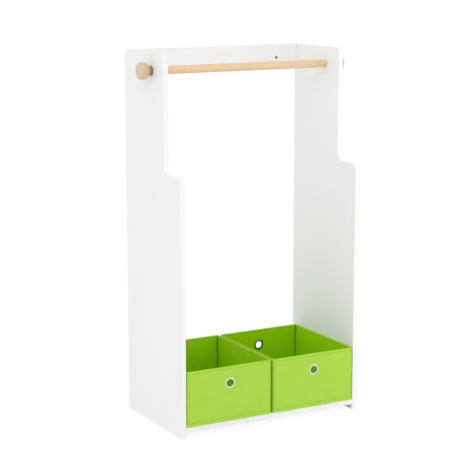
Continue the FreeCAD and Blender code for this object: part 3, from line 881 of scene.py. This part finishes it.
def eyelet_pair(box):
    """Front and back eyelet: a domed ring, a barrel and a rolled lip; and the washer under each lip. Barrel,
    lip and washers are a rougher metal painted darker as shade.
    """
    side = box.side
    wall = 2 * box.half_wall
    barrel = EYELET_BORE + EYELET_METAL
    lip = barrel + LIP_REACH
    washer_low, washer_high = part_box(f"{side}_box_eyelet_washers")
    washer = (washer_high.x - washer_low.x) / 2
    washer_top = wall + WASHER_THICK
    crown = arc((0.0, (EYELET_BORE + box.eye_radius) / 2),
                (-box.eye_crown, (box.eye_radius - EYELET_BORE) / 2), -90, 90, CROWN_STEPS)
    under = [(EYELET_SUNK, box.eye_radius - EYELET_UNDERCUT), (EYELET_SUNK, barrel)]
    roll = arc((washer_top, (EYELET_BORE + lip) / 2),
               (LIP_HEIGHT, (lip - EYELET_BORE) / 2), 90, -90, LIP_STEPS)
    washer_profile = [(wall - WASHER_SUNK, barrel), (wall - WASHER_SUNK, washer - WASHER_FOOT_IN),
                      (wall + WASHER_RIM, washer), (washer_top, washer - WASHER_TOP_IN),
                      (washer_top, barrel)]
    rings, washers = bmesh.new(), bmesh.new()
    for y, inwards in ((box.low.y, Y_AXIS), (box.high.y, -Y_AXIS)):
        centre = Vector((box.eye.x, y, box.eye.z))
        bands = turn(rings, crown + under + roll, centre, inwards, X_AXIS)
        for band in bands[len(crown + under) - 1:]:
            for face in band:
                face.material_index = SHADED_METAL
        turn(washers, washer_profile, centre, inwards, X_AXIS)
    body = f"{side}_box"
    place_piece(f"{side}_eyelets", rings, body, [NICKEL, SHADED_NICKEL], [f"{side}_box_eyelets"])
    place_piece(f"{side}_eyelet_washers", washers, body, [SHADED_NICKEL],
                [f"{side}_box_eyelet_washers"])


def sewn_box(side):
    """One fabric box with its stitching, eyelets and loose base board."""
    box = SewnBox(side)
    body = f"{side}_box"
    form = bmesh.new()
    add_sewn_walls(form, box)
    walls = [f"{side}_box_{name}_wall" for name in ("front", "back", "left", "right")]
    sleeve = place_piece(f"{side}_box_fabric", form, body,
                         [FABRIC, SHADED_LINING, HEM, CORNER_SHADE_FABRIC], walls)
    cut_eyelet_holes(sleeve, box)
    form = bmesh.new()
    add_stitching(form, box)
    place_piece(f"{side}_box_stitching", form, body, [THREAD], [], THREAD_SHARP_DEGREES)
    low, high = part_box(f"{side}_box_base_fabric")
    tuck = Vector((BASE_TUCK, BASE_TUCK, 0.0))
    form = bmesh.new()
    add_slab(form, low - tuck, high + tuck, 0.0, 0.0)
    # base fabric in the lining's painted shade
    place_piece(f"{side}_box_base", form, body, [SHADED_LINING], [f"{side}_box_base_fabric"])
    form = bmesh.new()
    add_slab(form, *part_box(f"{side}_box_base_board"), BASE_BOARD_CLIP, BASE_BOARD_PUFF)
    place_piece(f"{side}_base_board", form, f"{side}_insert", [SHADED_BOARD_COVER],
                [f"{side}_box_base_board"])
    eyelet_pair(box)


# Stage

def surroundings():
    """White world, which is seen brighter than it lights the object."""
    world = bpy.data.worlds.new("studio")
    graph = Graph(world)
    level = graph.span(graph.seen(), 0.0, 1.0, WORLD_LIGHT, 1.0)
    background = graph.add("Background", {"Color": WHITE, "Strength": level}).outputs["Background"]
    graph.end(background, "OutputWorld")
    bpy.context.scene.world = world


def pale_floor():
    """Floor that is seen almost white and keeps a faint shadow."""
    graph = new_graph("pale_floor")
    lit = graph.add("BsdfDiffuse", {"Color": FLOOR_PALE}).outputs["BSDF"]
    glow = graph.add("Emission", {"Color": WHITE, "Strength": FLOOR_GLOW}).outputs["Emission"]
    shaded = graph.add("BsdfDiffuse", {"Color": FLOOR_SHADED}).outputs["BSDF"]
    bright = graph.add("AddShader", {0: glow, 1: shaded}).outputs["Shader"]
    material = graph.end(graph.add("MixShader", {0: graph.seen(), 1: lit, 2: bright}).outputs["Shader"])
    form = bmesh.new()
    bmesh.ops.create_grid(form, x_segments=1, y_segments=1, size=FLOOR_SIZE / 2)
    floor = bpy.data.objects.new("floor", mesh_of("floor", form))
    floor.data.materials.append(material)
    bpy.context.scene.collection.objects.link(floor)


def soft_lamps():
    """Large round lamps, aimed at the middle of the rack."""
    for name, (place, size, power) in LAMPS.items():
        data = bpy.data.lights.new(name, "AREA")
        data.shape = "DISK"
        data.size = size
        data.energy = power
        lamp = bpy.data.objects.new(name, data)
        lamp.location = place
        lamp.rotation_euler = (Vector(LAMP_AIM) - Vector(place)).to_track_quat("-Z", "Y").to_euler()
        bpy.context.scene.collection.objects.link(lamp)


def camera():
    """Camera at the photograph's viewing angle."""
    data = bpy.data.cameras.new("camera")
    data.sensor_width = CAMERA_SENSOR
    data.lens = CAMERA_LENS
    data.shift_x, data.shift_y = CAMERA_SHIFT
    data.clip_end = CAMERA_REACH
    eye = bpy.data.objects.new("camera", data)
    eye.location = CAMERA_PLACE
    eye.rotation_euler = (math.radians(90 - CAMERA_PITCH), 0, math.radians(-CAMERA_YAW))
    bpy.context.scene.collection.objects.link(eye)
    bpy.context.scene.camera = eye


dress_cad_nodes()
rod_and_knobs()
for box_side in ("left", "right"):
    sewn_box(box_side)
surroundings()
pale_floor()
soft_lamps()
camera()
bpy.context.scene.view_settings.view_transform = "Standard"
